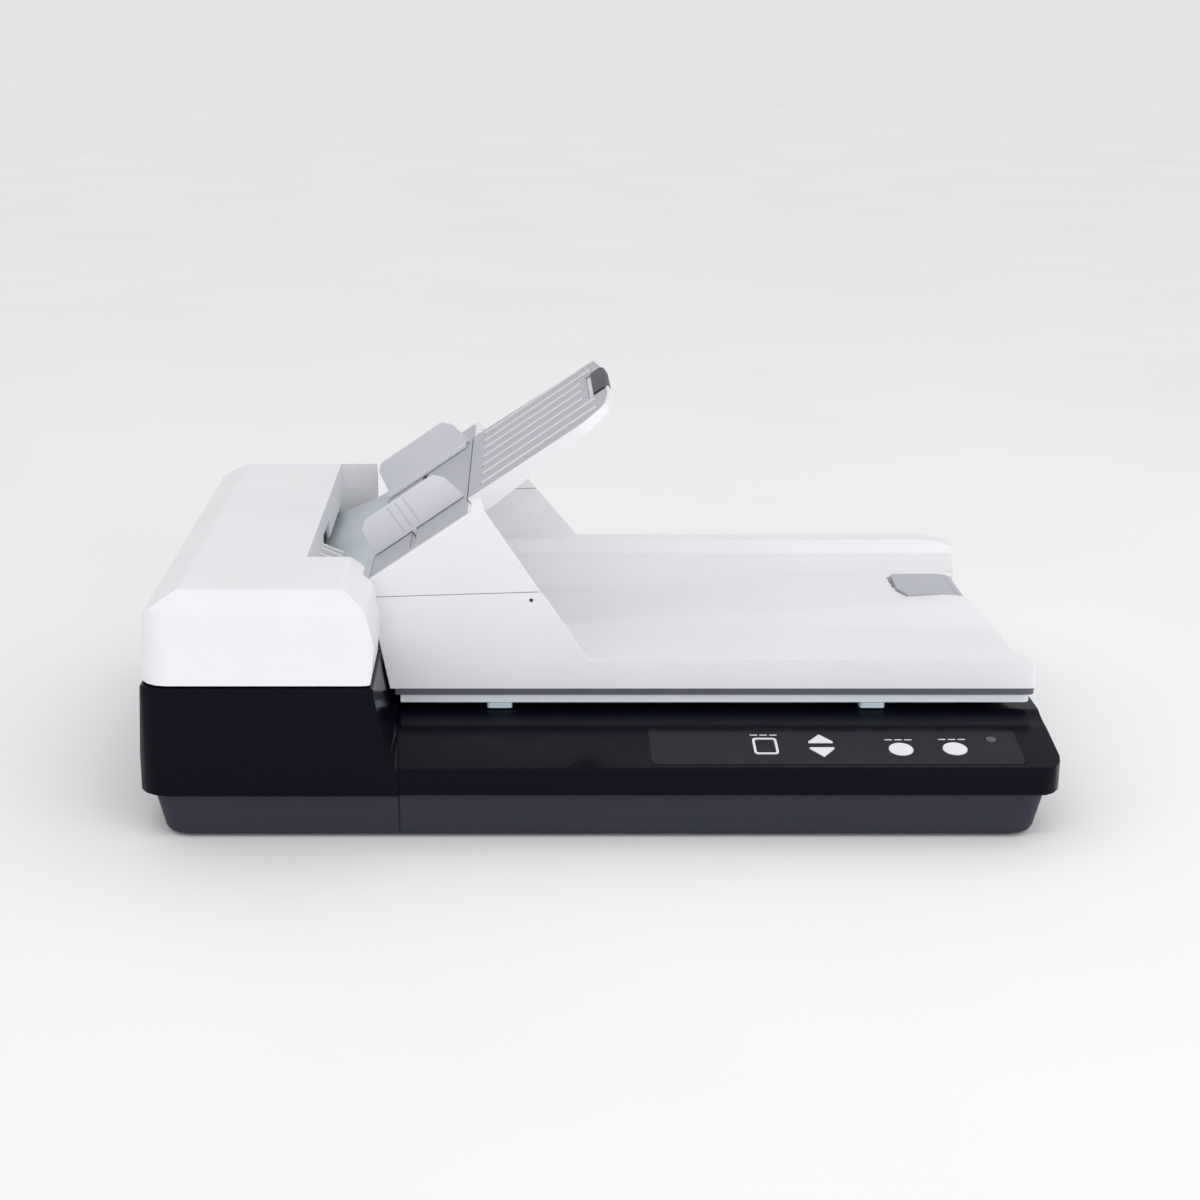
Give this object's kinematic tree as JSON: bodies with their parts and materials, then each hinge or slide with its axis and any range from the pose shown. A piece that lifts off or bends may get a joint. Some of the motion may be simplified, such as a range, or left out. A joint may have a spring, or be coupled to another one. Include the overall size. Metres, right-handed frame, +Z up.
{
  "type": "flatbed document scanner",
  "caption": "Flatbed document scanner with a sheet feeder, an opening lid that carries the paper trays, a front key panel and a moving scan carriage.",
  "frame": {"origin": "middle of the footprint on the surface that the feet stand on", "axes": "+X to the right, away from the feeder; +Y to the back, where the lid hinges are; +Z up"},
  "size_m": [0.5203, 0.325, 0.2299],
  "materials": {
    "shell_white": "fine satin moulded",
    "case_black": "semi-gloss moulded",
    "tub": "fine grained moulded",
    "rubber": "matte",
    "black_part": "matte moulded",
    "steel": "brushed",
    "circuit": "solder mask",
    "glass": "polished",
    "gloss_black": "high gloss",
    "lens": "clear moulded",
    "key_white": "smooth moulded",
    "dark_grey": "matte moulded",
    "pale_guide": "smooth moulded",
    "light_grey": "fine satin moulded",
    "plate_grey": "fine grained moulded",
    "pad": "smooth white faced foam",
    "bumper": "soft matte",
    "tray_grey": "fine satin moulded",
    "grip": "fine grained moulded"
  },
  "bodies": {
    "base": {"base_tub": "tub", "rubber_foot_1": "rubber", "rubber_foot_2": "rubber", "rubber_foot_3": "rubber", "rubber_foot_4": "rubber", "dc_inlet": "black_part", "usb_port": "steel", "main_board": "circuit", "flatbed_frame": "case_black", "platen_glass": "glass", "panel_overlay": "gloss_black", "status_lens": "lens", "panel_board": "circuit", "feeder_body": "case_black", "feeder_deck": "dark_grey", "feeder_scan_glass": "glass", "carriage_rod": "steel", "carriage_belt": "rubber", "carriage_motor": "steel", "feeder_core": "pale_guide", "separation_pad": "rubber", "feeder_plate_front": "steel", "feeder_plate_back": "steel", "feeder_belt": "rubber", "hinge_socket_left": "black_part", "hinge_socket_right": "black_part"},
    "scan_carriage": {"carriage": "dark_grey", "sensor_bar": "black_part"},
    "drive_wheel": {"drive_pulley": "steel"},
    "idler_wheel": {"idler_pulley": "steel"},
    "transport_shaft": {"transport_roller": "rubber"},
    "exit_shaft": {"exit_roller": "rubber"},
    "motor_shaft": {"motor_wheel": "steel"},
    "cover": {"feeder_cover": "shell_white", "cover_guide": "light_grey", "roller_carrier": "dark_grey"},
    "feed_wheel": {"feed_roller": "rubber"},
    "pickup_wheel": {"pickup_roller": "rubber"},
    "lid": {"lid_shell": "shell_white", "lid_under_plate": "plate_grey", "document_pad": "pad", "lid_bumper_left": "bumper", "lid_bumper_right": "bumper", "tray_housing": "shell_white", "feed_bed": "tray_grey", "hinge_arm_left": "dark_grey", "hinge_arm_right": "dark_grey"},
    "front_guide": {"guide_front": "light_grey"},
    "back_guide": {"guide_back": "light_grey"},
    "guide_gear": {"guide_pinion": "dark_grey"},
    "tray": {"input_tray": "shell_white", "rib_plate": "tray_grey"},
    "extension": {"tray_extension": "grip"},
    "stop_plate": {"stopper": "tray_grey"},
    "function_key": {"function_button": "key_white", "function_key_face": "gloss_black"},
    "up_key": {"up_button": "key_white"},
    "down_key": {"down_button": "key_white"},
    "cancel_key": {"cancel_button": "key_white"},
    "scan_key": {"scan_button": "key_white"}
  },
  "joints": [
    {"name": "carriage_slide", "type": "slide", "parent": "base", "child": "scan_carriage", "axis": [1, 0, 0], "range_m": [0, 0.385]},
    {"name": "drive_spin", "type": "hinge", "parent": "base", "child": "drive_wheel", "pos_m": [-0.2242, 0.056, 0.014], "axis": [0, 0, 1], "range_deg": [-3190, 5]},
    {"name": "idler_spin", "type": "hinge", "parent": "base", "child": "idler_wheel", "pos_m": [0.2198, 0.056, 0.014], "axis": [0, 0, 1], "range_deg": [-3190, 5]},
    {"name": "transport_spin", "type": "hinge", "parent": "base", "child": "transport_shaft", "pos_m": [-0.2262, 0.033, 0.084], "axis": [0, 1, 0], "continuous": true},
    {"name": "exit_spin", "type": "hinge", "parent": "base", "child": "exit_shaft", "pos_m": [-0.1452, 0.033, 0.099], "axis": [0, 1, 0], "continuous": true},
    {"name": "motor_spin", "type": "hinge", "parent": "base", "child": "motor_shaft", "pos_m": [-0.1872, -0.088, 0.076], "axis": [0, 1, 0], "continuous": true},
    {"name": "cover_hinge", "type": "hinge", "parent": "base", "child": "cover", "pos_m": [-0.2564, 0, 0.092], "axis": [0, -1, 0], "range_deg": [0, 80]},
    {"name": "feed_spin", "type": "hinge", "parent": "cover", "child": "feed_wheel", "pos_m": [-0.1992, 0.033, 0.1186], "axis": [0, 1, 0], "continuous": true},
    {"name": "pickup_spin", "type": "hinge", "parent": "cover", "child": "pickup_wheel", "pos_m": [-0.1782, 0.033, 0.1215], "axis": [0, 1, 0], "continuous": true},
    {"name": "lid_hinge", "type": "hinge", "parent": "base", "child": "lid", "pos_m": [0.0578, 0.1565, 0.061], "axis": [-1, 0, 0], "range_deg": [0, 75]},
    {"name": "front_guide_slide", "type": "slide", "parent": "lid", "child": "front_guide", "axis": [0, -1, 0], "range_m": [-0.024, 0.033]},
    {"name": "back_guide_slide", "type": "slide", "parent": "lid", "child": "back_guide", "axis": [0, 1, 0], "range_m": [-0.024, 0.033]},
    {"name": "guide_gear_spin", "type": "hinge", "parent": "lid", "child": "guide_gear", "pos_m": [-0.10778, 0.033, 0.15049], "axis": [-0.5664, 0, 0.8241], "range_deg": [-400, 400]},
    {"name": "tray_fold", "type": "hinge", "parent": "lid", "child": "tray", "pos_m": [-0.07633, 0.033, 0.17235], "axis": [0, -1, 0], "range_deg": [0, 95]},
    {"name": "extension_slide", "type": "slide", "parent": "tray", "child": "extension", "axis": [0.8241, 0, 0.5664], "range_m": [0, 0.055]},
    {"name": "stopper_flip", "type": "hinge", "parent": "lid", "child": "stop_plate", "pos_m": [0.2318, 0.034, 0.0918], "axis": [0, 1, 0], "range_deg": [0, 95]},
    {"name": "function_press", "type": "slide", "parent": "base", "child": "function_key", "axis": [0, 0.1599, -0.9871], "range_m": [0, 0.0006], "stiffness_N_per_m": 400},
    {"name": "up_press", "type": "slide", "parent": "base", "child": "up_key", "axis": [0, 0.1599, -0.9871], "range_m": [0, 0.0006], "stiffness_N_per_m": 400},
    {"name": "down_press", "type": "slide", "parent": "base", "child": "down_key", "axis": [0, 0.1599, -0.9871], "range_m": [0, 0.0006], "stiffness_N_per_m": 400},
    {"name": "cancel_press", "type": "slide", "parent": "base", "child": "cancel_key", "axis": [0, 0.1599, -0.9871], "range_m": [0, 0.0006], "stiffness_N_per_m": 400},
    {"name": "scan_press", "type": "slide", "parent": "base", "child": "scan_key", "axis": [0, 0.1599, -0.9871], "range_m": [0, 0.0006], "stiffness_N_per_m": 400}
  ],
  "couplings": [
    {"joint": "drive_spin", "follows": "carriage_slide", "rad_per_m": -143.88},
    {"joint": "idler_spin", "follows": "carriage_slide", "rad_per_m": -143.88},
    {"joint": "exit_spin", "follows": "transport_spin", "ratio": 1.1418},
    {"joint": "motor_spin", "follows": "transport_spin", "ratio": 1.3306},
    {"joint": "pickup_spin", "follows": "feed_spin", "ratio": 1.2209},
    {"joint": "back_guide_slide", "follows": "front_guide_slide", "ratio": 1},
    {"joint": "guide_gear_spin", "follows": "front_guide_slide", "rad_per_m": 204.08}
  ]
}
